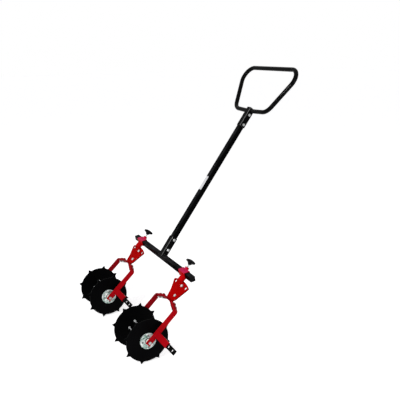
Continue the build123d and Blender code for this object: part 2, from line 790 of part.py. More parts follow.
    inside_disc = Plane(origin=roller.offset(disc_inner_face).origin, x_dir=(0, 1, 0), z_dir=(-1, 0, 0))
    with BuildPart() as hub_nuts:
        with Locations(inside_disc):
            with PolarLocations(hub_bolt_circle / 2, hub_bolt_count):
                add(hub_nut_solid)
        mirror(about=roller)
    hub_nuts.part.label = f"{side}_hub_nuts"
    export_step(hub_nuts.part, f"parts/{side}_hub_nuts.step")

    # Side socket: a flat tube welded to one leg, square to it
    socket_plane = Plane(
        origin=fork.from_local_coords((leg_outer, socket_height, 0)),
        x_dir=fork.y_dir,
        z_dir=(1, 0, 0),
    )
    with BuildPart() as side_socket:
        with BuildSketch(socket_plane):
            Rectangle(socket_width, socket_depth)
            Rectangle(socket_bore_width, socket_bore_depth, mode=Mode.SUBTRACT)
        extrude(amount=socket_length)
    side_socket.part.label = f"{side}_side_socket"
    export_step(side_socket.part, f"parts/{side}_side_socket.step")

    # Side bar: a drilled flat bar that slides in the socket
    last_hole = leg_outer + bar_start + side_bar_length - side_bar_hole_inset
    side_bar_hole_places = [
        (last_hole - place * side_bar_hole_pitch, socket_height) for place in range(side_bar_hole_count)
    ]
    with BuildPart() as side_bar:
        with BuildSketch(socket_plane.offset(bar_start)):
            Rectangle(side_bar_width, side_bar_thickness)
        extrude(amount=side_bar_length)
        bar_tip_edges = side_bar.faces().sort_by(Axis.X)[-1].edges().filter_by(Axis((0, 0, 0), fork_front))
        fillet(bar_tip_edges, side_bar_corner)
        with BuildSketch(fork):
            with Locations(*side_bar_hole_places):
                Circle(side_bar_hole_diameter / 2)
        extrude(amount=side_bar_thickness, both=True, mode=Mode.SUBTRACT)
    side_bar.part.label = f"{side}_side_bar"
    export_step(side_bar.part, f"parts/{side}_side_bar.step")
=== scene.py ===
import json
import math

import bpy
from mathutils import Matrix, Vector


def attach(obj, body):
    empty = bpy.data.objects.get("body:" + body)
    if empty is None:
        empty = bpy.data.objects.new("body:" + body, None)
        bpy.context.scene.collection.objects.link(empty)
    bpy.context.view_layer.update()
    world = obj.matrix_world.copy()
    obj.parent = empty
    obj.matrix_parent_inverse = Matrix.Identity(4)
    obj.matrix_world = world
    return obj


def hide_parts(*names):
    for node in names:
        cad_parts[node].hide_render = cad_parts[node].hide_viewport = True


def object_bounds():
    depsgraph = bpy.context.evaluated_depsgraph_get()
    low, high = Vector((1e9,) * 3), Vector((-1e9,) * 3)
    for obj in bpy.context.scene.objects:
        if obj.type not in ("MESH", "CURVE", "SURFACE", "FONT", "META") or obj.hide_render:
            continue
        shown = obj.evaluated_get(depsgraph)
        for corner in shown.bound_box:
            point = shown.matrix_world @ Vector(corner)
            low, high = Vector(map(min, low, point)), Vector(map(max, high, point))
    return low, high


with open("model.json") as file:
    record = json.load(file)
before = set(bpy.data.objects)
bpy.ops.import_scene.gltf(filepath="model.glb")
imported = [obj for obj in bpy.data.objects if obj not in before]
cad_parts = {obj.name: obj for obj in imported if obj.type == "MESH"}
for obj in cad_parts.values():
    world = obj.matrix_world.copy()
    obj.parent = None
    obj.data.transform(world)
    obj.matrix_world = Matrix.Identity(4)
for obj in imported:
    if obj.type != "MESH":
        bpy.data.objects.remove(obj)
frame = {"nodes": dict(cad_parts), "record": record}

cad_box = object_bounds()


# Crossbar: a square steel tube, set on edge to the pole, that carries the pole and both forks.
# It is cut from stock tube and sprayed with black gloss enamel, which lies a little uneven and is
# rubbed dull along the corners. A grey haze on its upper faces is dust and also painted sheen.
def new_group(name, inputs, outputs):
    """A node group with its sockets, still empty."""
    tree = bpy.data.node_groups.new(name, "ShaderNodeTree")
    for label, kind, value in inputs:
        socket = tree.interface.new_socket(label, in_out="INPUT", socket_type=kind)
        socket.default_value = value
    for label, kind in outputs:
        tree.interface.new_socket(label, in_out="OUTPUT", socket_type=kind)
    given = tree.nodes.new("NodeGroupInput").outputs
    result = tree.nodes.new("NodeGroupOutput").inputs
    return tree, given, result


def object_place(tree):
    return tree.nodes.new("ShaderNodeTexCoord").outputs["Object"]


def face_normal(tree):
    return tree.nodes.new("ShaderNodeNewGeometry").outputs["Normal"]


def noise(tree, place, scale, detail):
    texture = tree.nodes.new("ShaderNodeTexNoise")
    texture.inputs["Scale"].default_value = scale
    texture.inputs["Detail"].default_value = detail
    tree.links.new(place, texture.inputs["Vector"])
    return texture.outputs["Fac"]


def spread(tree, value, low, high, to_low=0.0, to_high=1.0):
    """Maps the range from low to high onto another range, and holds the ends."""
    span = tree.nodes.new("ShaderNodeMapRange")
    span.inputs["From Min"].default_value = low
    span.inputs["From Max"].default_value = high
    span.inputs["To Min"].default_value = to_low
    span.inputs["To Max"].default_value = to_high
    tree.links.new(value, span.inputs["Value"])
    return span.outputs["Result"]


def compute(tree, how, *values):
    """One math node, fed with numbers or with other nodes' outputs."""
    step = tree.nodes.new("ShaderNodeMath")
    step.operation = how
    for socket, value in zip(step.inputs, values):
        if isinstance(value, (int, float)):
            socket.default_value = value
        else:
            tree.links.new(value, socket)
    return step.outputs["Value"]


def blend_colour(tree, share, under, over):
    """Mixes two colours, each a tuple or another node's output."""
    mix = tree.nodes.new("ShaderNodeMix")
    mix.data_type = "RGBA"
    tree.links.new(share, mix.inputs["Factor"])
    for socket, value in ((mix.inputs["A"], under), (mix.inputs["B"], over)):
        if isinstance(value, tuple):
            socket.default_value = value
        else:
            tree.links.new(value, socket)
    return mix.outputs["Result"]


def looking_along(tree, normal, heading):
    """How far a normal points along a heading, from -1 to 1."""
    along = tree.nodes.new("ShaderNodeVectorMath")
    along.operation = "DOT_PRODUCT"
    for socket, value in zip(along.inputs, (normal, heading)):
        if isinstance(value, (tuple, Vector)):
            socket.default_value = value
        else:
            tree.links.new(value, socket)
    return along.outputs["Value"]


# The mask is 1 on outer edges, where the surface turns within the reach of a rubbing hand or tool
rub_reach = 0.0012
edge_group, given, result = new_group(
    "edge_rub", [("Amount", "NodeSocketFloat", 0.5)], [("Mask", "NodeSocketFloat")]
)
rounded = edge_group.nodes.new("ShaderNodeBevel")
rounded.samples = 6
rounded.inputs["Radius"].default_value = rub_reach
kept_straight = looking_along(edge_group, rounded.outputs["Normal"], face_normal(edge_group))
on_edge = spread(edge_group, kept_straight, low=0.995, high=0.86)
flecks = noise(edge_group, object_place(edge_group), scale=130, detail=4)
rubbed = compute(edge_group, "MULTIPLY", on_edge, spread(edge_group, flecks, low=0.42, high=0.62))
edge_group.links.new(compute(edge_group, "MULTIPLY", rubbed, given["Amount"]), result["Mask"])

# Dust lies on what faces up, in soft patches. On the black enamels this haze is also painted sheen on upper
# faces.
dust_group, given, result = new_group(
    "settled_dust", [("Amount", "NodeSocketFloat", 0.1)], [("Mask", "NodeSocketFloat")]
)
facing = dust_group.nodes.new("ShaderNodeSeparateXYZ")
dust_group.links.new(face_normal(dust_group), facing.inputs["Vector"])
upward = spread(dust_group, facing.outputs["Z"], low=0.0, high=1.0, to_low=0.04)
patches = noise(dust_group, object_place(dust_group), scale=28, detail=5)
settled = compute(dust_group, "MULTIPLY", upward, spread(dust_group, patches, low=0.35, high=0.75))
dust_group.links.new(compute(dust_group, "MULTIPLY", settled, given["Amount"]), result["Mask"])

# Sprayed enamel: the colour drifts a little, the film has a fine orange peel and a few dull patches
enamel_group, given, result = new_group(
    "sprayed_enamel",
    [
        ("Paint", "NodeSocketColor", (0.02, 0.02, 0.02, 1)),
        ("Drift", "NodeSocketFloat", 0.1),
        ("Gloss", "NodeSocketFloat", 0.3),
    ],
    [("Color", "NodeSocketColor"), ("Roughness", "NodeSocketFloat"), ("Height", "NodeSocketFloat")],
)
place = object_place(enamel_group)
cloudy = noise(enamel_group, place, scale=11, detail=3)
drifting = spread(enamel_group, cloudy, low=0.3, high=0.7, to_low=-1.0)
shade = enamel_group.nodes.new("ShaderNodeHueSaturation")
brightness = compute(enamel_group, "MULTIPLY_ADD", drifting, given["Drift"], 1.0)
enamel_group.links.new(brightness, shade.inputs["Value"])
enamel_group.links.new(given["Paint"], shade.inputs["Color"])
enamel_group.links.new(shade.outputs["Color"], result["Color"])
blotches = noise(enamel_group, place, scale=46, detail=4)
dull = spread(enamel_group, blotches, low=0.4, high=0.75, to_low=-0.05, to_high=0.14)
enamel_group.links.new(compute(enamel_group, "ADD", dull, given["Gloss"]), result["Roughness"])
fine_peel = noise(enamel_group, place, scale=480, detail=2)
broad_peel = noise(enamel_group, place, scale=150, detail=1)
enamel_group.links.new(compute(enamel_group, "ADD", fine_peel, broad_peel), result["Height"])


def new_finish(name):
    """A material, its node tree and its shader."""
    finish = bpy.data.materials.new(name)
    finish.use_nodes = True
    return finish, finish.node_tree, finish.node_tree.nodes["Principled BSDF"]


def add_layer(tree, group, **settings):
    """A shared effect in a material, with its inputs set."""
    layer = tree.nodes.new("ShaderNodeGroup")
    layer.node_tree = group
    for label, value in settings.items():
        layer.inputs[label].default_value = value
    return layer


def add_relief(tree, shader, height, strength, depth, edge_radius=None):
    """Bump from a height, over softened edges if a radius is given."""
    relief = tree.nodes.new("ShaderNodeBump")
    relief.inputs["Strength"].default_value = strength
    relief.inputs["Distance"].default_value = depth
    tree.links.new(height, relief.inputs["Height"])
    if edge_radius:
        soft_edge = tree.nodes.new("ShaderNodeBevel")
        soft_edge.inputs["Radius"].default_value = edge_radius
        tree.links.new(soft_edge.outputs["Normal"], relief.inputs["Normal"])
    tree.links.new(relief.outputs["Normal"], shader.inputs["Normal"])


def enamel(name, colour, gloss, reflect, primer, wear, dust, haze, drift):
    """Enamel over primer and steel, rubbed through at the edges, with a haze on upper faces that is dust
    and, on black, painted sheen.
    """
    dust_dulling = 0.25
    wear_dulling = 0.2
    paint, tree, shader = new_finish(name)
    shader.inputs["Specular IOR Level"].default_value = reflect
    film = add_layer(tree, enamel_group, Paint=colour, Gloss=gloss, Drift=drift)
    film.name = "layer"
    edge = add_layer(tree, edge_group, Amount=wear).outputs["Mask"]
    lying = add_layer(tree, dust_group, Amount=dust).outputs["Mask"]
    worn = blend_colour(tree, edge, film.outputs["Color"], primer)
    tree.links.new(blend_colour(tree, lying, worn, haze), shader.inputs["Base Color"])
    dusty = compute(tree, "MULTIPLY_ADD", lying, dust_dulling, film.outputs["Roughness"])
    tree.links.new(compute(tree, "MULTIPLY_ADD", edge, wear_dulling, dusty), shader.inputs["Roughness"])
    add_relief(tree, shader, film.outputs["Height"], strength=0.08, depth=0.0004, edge_radius=0.0006)
    return paint


def finish_in(material, *names):
    for name in names:
        for slot in frame["nodes"][name].material_slots:
            slot.material = material


black_paint = (0.001, 0.001, 0.0012, 1)
bare_edge = (0.1, 0.098, 0.095, 1)
grey_dust_and_sheen = (0.026, 0.026, 0.028, 1)
# The strong grey haze on upper faces here is dust and also painted sheen of the light on upper and front
# faces.
black_enamel = enamel(
    "black_enamel", black_paint, gloss=0.12, reflect=0.006, primer=bare_edge, wear=0.3,
    dust=0.8, haze=grey_dust_and_sheen, drift=0.25,
)
finish_in(black_enamel, "crossbar")

# Plugs in the ends of the crossbar: black polythene caps with a fine matt grain.
# They are injection moulded and pushed into the tube by hand.
moulded_group, given, result = new_group(
    "moulded_grain",
    [("Plastic", "NodeSocketColor", (0.02, 0.02, 0.02, 1)), ("Dullness", "NodeSocketFloat", 0.5)],
    [("Color", "NodeSocketColor"), ("Roughness", "NodeSocketFloat"), ("Height", "NodeSocketFloat")],
)
place = object_place(moulded_group)
tone = moulded_group.nodes.new("ShaderNodeHueSaturation")
streaks = noise(moulded_group, place, scale=70, detail=4)
brightness = spread(moulded_group, streaks, low=0.3, high=0.7, to_low=0.75, to_high=1.3)
moulded_group.links.new(brightness, tone.inputs["Value"])
moulded_group.links.new(given["Plastic"], tone.inputs["Color"])
moulded_group.links.new(tone.outputs["Color"], result["Color"])
specks = noise(moulded_group, place, scale=210, detail=3)
mottle = spread(moulded_group, specks, low=0.3, high=0.7, to_low=-0.08, to_high=0.1)
moulded_group.links.new(compute(moulded_group, "ADD", mottle, given["Dullness"]), result["Roughness"])
moulded_group.links.new(noise(moulded_group, place, scale=1700, detail=2), result["Height"])


def moulded(name, colour, dullness, reflect, scuff, wear):
    """Moulded plastic with a fine grain and pale scuffs on its edges."""
    plastic, tree, shader = new_finish(name)
    shader.inputs["Specular IOR Level"].default_value = reflect
    grain = add_layer(tree, moulded_group, Plastic=colour, Dullness=dullness)
    edge = add_layer(tree, edge_group, Amount=wear).outputs["Mask"]
    tree.links.new(blend_colour(tree, edge, grain.outputs["Color"], scuff), shader.inputs["Base Color"])
    tree.links.new(grain.outputs["Roughness"], shader.inputs["Roughness"])
    add_relief(tree, shader, grain.outputs["Height"], strength=0.2, depth=0.0002)
    return plastic


cap_black = (0.003, 0.003, 0.0035, 1)
grey_scuff = (0.02, 0.02, 0.02, 1)
black_plastic = moulded("black_plastic", cap_black, dullness=0.34, reflect=0.04, scuff=grey_scuff, wear=0.3)
finish_in(black_plastic, "bar_end_caps")

# Lower sleeve: a square tube around the pole's foot, notched to sit over the crossbar's upper corner.
# An arc weld of overlapping ripples runs all round the notch. The black enamel is rubbed at the corners,
# and a pale painted highlight lies along its rounded corners.
pole_slope = math.radians(54)
up_pole = Vector((0, math.cos(pole_slope), math.sin(pole_slope)))
pole_front = Vector((0, -math.sin(pole_slope), math.cos(pole_slope)))
crosswise = Vector((1, 0, 0))


def two_tone(finish, layer, heading, first, second, low, high, both_ways=False):
    """Gives a finish a second tone, by how far a face looks along a heading."""
    tree = finish.node_tree
    along = looking_along(tree, face_normal(tree), heading)
    if both_ways:
        along = compute(tree, "ABSOLUTE", along)
    share = spread(tree, along, low, high)
    tree.links.new(blend_colour(tree, share, first, second), tree.nodes["layer"].inputs[layer])


rubbed_steel_and_highlight = (0.26, 0.26, 0.26, 1)
corner_highlight = (0.13, 0.13, 0.13, 1)
# Strong edge rub over pale steel: real wear, and also a painted highlight line along the edges.
sleeve_enamel = enamel(
    "sleeve_enamel", black_paint, gloss=0.12, reflect=0.02, primer=rubbed_steel_and_highlight, wear=0.8,
    dust=0.2, haze=grey_dust_and_sheen, drift=0.25,
)
# Faces turned to the corner between side and front are painted pale, as a highlight along the rounded
# corners.
corner_heading = (crosswise + pole_front).normalized()
two_tone(
    sleeve_enamel, "Paint", corner_heading, black_paint, corner_highlight, low=0.86, high=0.97, both_ways=True
)
finish_in(sleeve_enamel, "lower_sleeve")


def row(start, end, count):
    return [start.lerp(end, step / (count - 1)) for step in range(count)]


def ring(centre, first, second, radius, count):
    turns = [2 * math.pi * step / count for step in range(count)]
    return [centre + radius * (math.cos(turn) * first + math.sin(turn) * second) for turn in turns]


def box_round(centre, first, second, first_count, second_count):
    """Points around a rectangle, given by its middle and its two half sides."""
    corners = [
        centre + a * first + b * second for a, b in ((1, 1), (-1, 1), (-1, -1), (1, -1), (1, 1))
    ]
    counts = (first_count, second_count, first_count, second_count)
    return [
        spot
        for start, end, count in zip(corners, corners[1:], counts)
        for spot in row(start, end, count)[:-1]
    ]


def seam(name, starts, heading):
    """Points where lines from the starts meet a piece."""
    depsgraph = bpy.context.evaluated_depsgraph_get()
    met = [frame["nodes"][name].ray_cast(start, heading, depsgraph=depsgraph) for start in starts]
    return [spot for found, spot, normal, face in met if found]


def weld(name, spots, body, paint, bead):
    """One bead of ripples, fused along a seam."""
    least_size = 0.92
    swell = 0.16
    beat = 2.4
    voxels_in_bead = 3.5
    bpy.ops.object.select_all(action="DESELECT")
    bpy.ops.mesh.primitive_ico_sphere_add(subdivisions=2, radius=bead, location=spots[0])
    ripple = bpy.context.active_object
    for step, spot in enumerate(spots[1:]):
        copy = ripple.copy()
        copy.data = ripple.data.copy()
        copy.location = spot
        copy.scale = [least_size + swell * math.sin(beat * step) ** 2] * 3
        bpy.context.collection.objects.link(copy)
        copy.select_set(True)
    bpy.ops.object.join()
    bpy.ops.object.transform_apply(location=True, rotation=True, scale=True)
    fused = ripple.modifiers.new("fused", "REMESH")
    fused.mode = "VOXEL"
    fused.voxel_size = bead / voxels_in_bead
    bpy.ops.object.modifier_apply(modifier="fused")
    flowed = ripple.modifiers.new("flowed", "SMOOTH")
    flowed.factor = 0.5
    flowed.iterations = 2
    bpy.ops.object.modifier_apply(modifier="flowed")
    bpy.ops.object.shade_smooth()
    ripple.name = name
    ripple.data.name = name
    ripple.data.materials.append(paint)
    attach(ripple, body)


sleeve_half = 0.0161
above_crossbar = 0.05
starts = box_round(
    above_crossbar * up_pole, sleeve_half * crosswise, sleeve_half * pole_front,
    first_count=15, second_count=15,
)
spots = seam("crossbar", starts, -up_pole)
weld("lower_sleeve_weld", spots, "frame", sleeve_enamel, bead=0.0024)

# Pole: a square steel tube, cut square and held in both sleeves by two cross bolts each.
# It has the same black enamel as the crossbar.
finish_in(black_enamel, "pole")

# Blank label: a pale strip of lacquered film with round corners and nothing printed on it.
# It is stuck to the front of the pole, and is a little soiled from handling.
pale_film = (0.66, 0.66, 0.68, 1)
soiled_film = (0.5, 0.5, 0.51, 1)
label_film, tree, shader = new_finish("pale_label")
place = object_place(tree)
smears = noise(tree, place, scale=60, detail=5)
soil = spread(tree, smears, low=0.35, high=0.75, to_high=0.5)
tree.links.new(blend_colour(tree, soil, pale_film, soiled_film), shader.inputs["Base Color"])
scratches = noise(tree, place, scale=240, detail=3)
lacquer = spread(tree, scratches, low=0.3, high=0.7, to_low=0.34, to_high=0.5)
tree.links.new(lacquer, shader.inputs["Roughness"])
add_relief(tree, shader, noise(tree, place, scale=900, detail=3), strength=0.15, depth=0.0001)
finish_in(label_film, "blank_label")

# Upper sleeve and handle loop: a square tube around the pole's head, and one round tube bent to a loop.
# Both ends of the loop butt against the sleeve and are welded all round.
# The loop's enamel is the glossiest, as hands keep it smooth.
handle_enamel = enamel(
    "handle_enamel", black_paint, gloss=0.08, reflect=0.035, primer=bare_edge, wear=0.2,
    dust=0.1, haze=grey_dust_and_sheen, drift=0.25,
)
finish_in(sleeve_enamel, "upper_sleeve")
finish_in(handle_enamel, "handle_loop")
handle_height = 0.85468
loop_radius = 0.0113
clear_of_sleeve = 0.04
loop_ends = []
for hand in (1, -1):
    beside_sleeve = handle_height * up_pole + hand * clear_of_sleeve * crosswise
    starts = ring(beside_sleeve, up_pole, pole_front, loop_radius, count=30)
    loop_ends.append(seam("upper_sleeve", starts, -hand * crosswise))
for hand_name, spots in zip(("right", "left"), loop_ends):
    weld(f"handle_{hand_name}_weld", spots, "frame", handle_enamel, bead=0.0023)

# Sleeve bolts and nuts: hexagon bolts through both walls of a sleeve and the pole, with a nut behind.
# They are forged steel, and their zinc has clouded and gone dull.
plated_group, given, result = new_group(
    "zinc_plate",
    [
        ("Bright", "NodeSocketColor", (0.7, 0.71, 0.71, 1)),
        ("Clouded", "NodeSocketColor", (0.5, 0.53, 0.5, 1)),
        ("Polish", "NodeSocketFloat", 0.3),
        ("Grain", "NodeSocketFloat", 62),
    ],
    [("Color", "NodeSocketColor"), ("Roughness", "NodeSocketFloat"), ("Height", "NodeSocketFloat")],
)
place = object_place(plated_group)
cloud = plated_group.nodes.new("ShaderNodeTexNoise")
cloud.inputs["Detail"].default_value = 5
plated_group.links.new(place, cloud.inputs["Vector"])
plated_group.links.new(given["Grain"], cloud.inputs["Scale"])
share = spread(plated_group, cloud.outputs["Fac"], low=0.38, high=0.66)
patchy = blend_colour(plated_group, share, given["Bright"], given["Clouded"])
plated_group.links.new(patchy, result["Color"])
breath = noise(plated_group, place, scale=160, detail=4)
hazy = spread(plated_group, breath, low=0.3, high=0.7, to_low=-0.07, to_high=0.16)
plated_group.links.new(compute(plated_group, "ADD", hazy, given["Polish"]), result["Roughness"])
plated_group.links.new(noise(plated_group, place, scale=620, detail=3), result["Height"])


def plated(name, bright, clouded, polish=0.3, grain=62, metal=1.0):
    """Plated or drawn steel."""
    zinc, tree, shader = new_finish(name)
    shader.inputs["Metallic"].default_value = metal
    skin = add_layer(tree, plated_group, Bright=bright, Clouded=clouded, Polish=polish, Grain=grain)
    skin.name = "layer"
    tree.links.new(skin.outputs["Color"], shader.inputs["Base Color"])
    tree.links.new(skin.outputs["Roughness"], shader.inputs["Roughness"])
    add_relief(tree, shader, skin.outputs["Height"], strength=0.15, depth=0.0003, edge_radius=0.0004)
    return zinc


dull_zinc = plated("dull_zinc", bright=(0.4, 0.41, 0.41, 1), clouded=(0.28, 0.29, 0.28, 1), polish=0.34)
finish_in(dull_zinc, "sleeve_bolts", "sleeve_nuts")

# Clamp sleeves and clamp nuts: short square tubes that slide along the crossbar, with a round threaded
# boss welded on the upper corner. They are red like the forks, and their upward faces turn a cooler,
# pinker red as a painted reflection of the light above.
sides = ("left", "right")
joints = {joint["name"]: joint for joint in frame["record"]["behaviour"]["joints"]}
screw_axes = {side: Vector(joints[f"{side}_knob_turn"]["pos_m"]) for side in sides}
red_paint = (0.42, 0.001, 0.0025, 1)
red_primer = (0.07, 0.002, 0.003, 1)
soil_dust = (0.14, 0.1, 0.075, 1)
crimson_reflection = (0.5, 0.012, 0.075, 1)


def red_coat(name, colour, gloss=0.26, reflect=0.012, wear=0.5, dust=0.02, drift=0.12):
    """Red enamel over dark primer, with a little soil."""
    return enamel(name, colour, gloss, reflect, red_primer, wear, dust, soil_dust, drift)


clamp_enamel = red_coat("clamp_enamel", red_paint, reflect=0.02, wear=0.4)
# Upward faces are painted pinker, as a reflection of the light above.
two_tone(clamp_enamel, "Paint", (0, 0, 1), red_paint, crimson_reflection, low=0.15, high=0.6)
boss_radius = 0.0104
above_clamp = 0.05
for side in sides:
    finish_in(clamp_enamel, f"{side}_clamp_sleeve", f"{side}_clamp_nut")
    starts = ring(screw_axes[side] + above_clamp * up_pole, crosswise, pole_front, boss_radius, count=28)
    spots = seam(f"{side}_clamp_sleeve", starts, -up_pole)
    weld(f"{side}_boss_weld", spots, f"{side}_clamp", clamp_enamel, bead=0.0018)

# Clamp screws: studs with a coarse rolled thread and bright zinc.
# They run in the bosses, and their tips press on the crossbar's upper corner.
bolt_zinc = plated("bolt_zinc", bright=(0.72, 0.73, 0.73, 1), clouded=(0.5, 0.52, 0.5, 1))
stud_radius = 0.004
stud_root = 0.0034
stud_pitch = 0.00125
stud_foot = 0.01677
stud_length = 0.0435
threads = round(stud_length / stud_pitch) - 1


def grow(rise, widen):
    """Draws the selected face of a turned shape up, and widens it."""
    bpy.ops.mesh.extrude_region_move(TRANSFORM_OT_translate={"value": (0, 0, rise)})
    bpy.ops.transform.resize(value=(widen, widen, 1))


bpy.ops.object.select_all(action="DESELECT")
bpy.ops.mesh.primitive_circle_add(vertices=20, radius=stud_root, fill_type="NGON")
stud = bpy.context.active_object
bpy.ops.object.mode_set(mode="EDIT")
for _ in range(threads):
    grow(stud_pitch / 2, stud_radius / stud_root)
    grow(stud_pitch / 2, stud_root / stud_radius)
bpy.ops.mesh.select_all(action="SELECT")
bpy.ops.mesh.normals_make_consistent(inside=False)
bpy.ops.object.mode_set(mode="OBJECT")
bpy.ops.object.shade_smooth_by_angle(angle=math.radians(35))
stud.data.materials.append(bolt_zinc)
up_screw = Matrix((crosswise, -pole_front, up_pole)).transposed().to_4x4()


def stand_copy(pattern, name, turn, foot):
    """A copy of a piece, turned and moved, with its object left at the origin."""
    piece = pattern.copy()
    piece.data = pattern.data.copy()
    bpy.context.collection.objects.link(piece)
    bpy.ops.object.select_all(action="DESELECT")
    piece.matrix_world = Matrix.Translation(foot) @ turn
    piece.select_set(True)
    bpy.context.view_layer.objects.active = piece
    bpy.ops.object.transform_apply(location=True, rotation=True, scale=True)
    piece.name = name
    return piece


for side in sides:
    screw = stand_copy(stud, f"{side}_threaded_stud", up_screw, screw_axes[side] + stud_foot * up_pole)
    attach(screw, f"{side}_screw")
    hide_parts(f"{side}_clamp_screw")
bpy.data.objects.remove(stud)

# Wing knobs: black thermoplastic heads moulded on the clamp screws, with a full tulip body that runs out
# into two thick wings across the crossbar. The edges are well rounded and the top is crowned.
knob_foot = 0.042355
knob_height = 0.026
body_foot_radius = 0.006
body_levels = (
    (0.003, 0.0078), (0.006, 0.0104), (0.009, 0.0124), (0.012, 0.0135), (0.015, 0.0139),
    (0.018, 0.0139), (0.021, 0.0134), (0.0235, 0.0118), (0.025, 0.0092), (knob_height, 0.0058),
)
level = 0.0
radius = body_foot_radius
bpy.ops.object.select_all(action="DESELECT")
bpy.ops.mesh.primitive_circle_add(vertices=32, radius=radius, fill_type="NGON")
knob = bpy.context.active_object
bpy.ops.object.mode_set(mode="EDIT")
for next_level, next_radius in body_levels:
    grow(next_level - level, next_radius / radius)
    level = next_level
    radius = next_radius
bpy.ops.mesh.select_all(action="SELECT")
bpy.ops.mesh.normals_make_consistent(inside=False)
bpy.ops.object.mode_set(mode="OBJECT")
wing_span = 0.05
wing_thickness = 0.013
wing_taper = 0.25
wing_root = 0.004
wing_lift = 0.009
lift_power = 0.9
wing_drop = 0.0055
bpy.ops.mesh.primitive_cube_add(size=1, location=(0, 0, 0.5), scale=(wing_span, wing_thickness, 1))
wings = bpy.context.active_object
bpy.ops.object.transform_apply(location=True, rotation=True, scale=True)
bpy.ops.object.mode_set(mode="EDIT")
bpy.ops.mesh.subdivide(number_cuts=7)
bpy.ops.object.mode_set(mode="OBJECT")
for point in wings.data.vertices:
    out_along = abs(point.co.x) / (wing_span / 2)
    underside = wing_root + wing_lift * out_along ** lift_power
    topside = knob_height - wing_drop * out_along ** 2
    point.co.y *= 1 - wing_taper * out_along
    point.co.z = underside + (topside - underside) * point.co.z
knob.select_set(True)
wings.select_set(True)
bpy.context.view_layer.objects.active = knob
bpy.ops.object.join()
moulding = knob.modifiers.new("moulding", "REMESH")
moulding.mode = "VOXEL"
moulding.voxel_size = 0.0006
bpy.ops.object.modifier_apply(modifier="moulding")
rounding = knob.modifiers.new("rounding", "SMOOTH")
rounding.factor = 0.5
rounding.iterations = 8
bpy.ops.object.modifier_apply(modifier="rounding")
bpy.ops.object.shade_smooth()
knob.data.materials.append(black_plastic)
across_bar = Matrix((pole_front, up_pole.cross(pole_front), up_pole)).transposed().to_4x4()
for side in sides:
    head = stand_copy(knob, f"{side}_moulded_knob", across_bar, screw_axes[side] + knob_foot * up_pole)
    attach(head, f"{side}_knob")
    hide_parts(f"{side}_wing_knob")
bpy.data.objects.remove(knob)

# Stems and sector plates: a short round tube coped to the clamp's lower corner, and a fan-shaped plate
# with the pivot hole, the curved lock slot and spare holes. They are welded together and sprayed red,
# and the plate's cut edges are painted dark as shade.
fork_slope = math.radians(43)
up_fork = Vector((0, math.cos(fork_slope), math.sin(fork_slope)))
fork_front = Vector((0, -math.sin(fork_slope), math.cos(fork_slope)))
axles = {side: Vector(joints[f"{side}_roller_spin"]["pos_m"]) for side in sides}
hands = (("left", -1), ("right", 1))
plate_red = (0.39, 0.0006, 0.0008, 1)
edge_shade_red = (0.06, 0.001, 0.003, 1)
underside_shade_red = (0.17, 0.001, 0.004, 1)


# Downward faces are painted a darker red, as shade under the parts.
def shade_undersides(finish, colour):
    two_tone(finish, "Paint", (0, 0, -1), colour, underside_shade_red, low=0.1, high=0.6)


red_enamel = red_coat("red_enamel", red_paint)
shade_undersides(red_enamel, red_paint)
plate_enamel = red_coat("plate_enamel", plate_red, reflect=0.004, dust=0.005)
# The plate's cut edges, which face away from the front, are painted dark red as shade.
two_tone(plate_enamel, "Paint", fork_front, plate_red, edge_shade_red, low=0.75, high=0.35, both_ways=True)
stem_radius = 0.0152
stem_lead = 0.0192
plate_level = 0.292
foot_bead_offset = 0.0062
foot_bead_length = 0.0065
for side in sides:
    finish_in(red_enamel, f"{side}_stem")
    finish_in(plate_enamel, f"{side}_sector_plate")
    stem_foot = axles[side] + plate_level * up_fork + stem_lead * fork_front
    starts = ring(stem_foot, crosswise, fork_front, stem_radius, count=34)
    spots = seam(f"{side}_clamp_sleeve", starts, up_fork)
    weld(f"{side}_stem_head_weld", spots, f"{side}_clamp", red_enamel, bead=0.0022)
    for hand_name, hand in hands:
        bead_foot = stem_foot + hand * foot_bead_offset * crosswise
        starts = row(bead_foot, bead_foot + foot_bead_length * up_fork, count=5)
        spots = seam(f"{side}_sector_plate", starts, -fork_front)
        weld(f"{side}_stem_{hand_name}_weld", spots, f"{side}_clamp", red_enamel, bead=0.002)

# Swivel plates and yokes: the plate that swings behind the sector plate, and the low arch of flat bar
# that it stands on. The plate's foot is welded along the back of the arch, which is painted a darker red as
# shade.
shaded_yoke_red = (0.22, 0.001, 0.005, 1)
# The yoke's darker red is painted shade.
yoke_enamel = red_coat("yoke_enamel", shaded_yoke_red, gloss=0.3, drift=0.15)
plate_back = 0.0046
above_yoke = 0.22
half_bead_length = 0.028
for side in sides:
    finish_in(plate_enamel, f"{side}_swivel_plate")
    finish_in(yoke_enamel, f"{side}_yoke")
    middle = axles[side] + above_yoke * up_fork - plate_back * fork_front
    starts = row(middle - half_bead_length * crosswise, middle + half_bead_length * crosswise, count=28)
    spots = seam(f"{side}_yoke", starts, -up_fork)
    weld(f"{side}_yoke_weld", spots, f"{side}_fork", yoke_enamel, bead=0.0023)

# Legs: two flat bars bent over the yoke's shoulders and sawn square below the axle.
# They are drilled for the bolts and sprayed a deeper red than the plates. The plain leg is painted
# deeper still as shade, and their undersides are painted darker as shade.
leg_red = (0.36, 0.0022, 0.006, 1)
# The plain leg gets a darker copy of the leg red, as painted shade.
shaded_plain_leg_red = (0.26, 0.0022, 0.006, 1)
leg_enamel = red_coat("leg_enamel", leg_red)
shade_undersides(leg_enamel, leg_red)
shaded_plain_leg_enamel = red_coat("shaded_plain_leg_enamel", shaded_plain_leg_red)
shade_undersides(shaded_plain_leg_enamel, shaded_plain_leg_red)
for side in sides:
    finish_in(leg_enamel, f"{side}_socket_leg")
    finish_in(shaded_plain_leg_enamel, f"{side}_plain_leg")

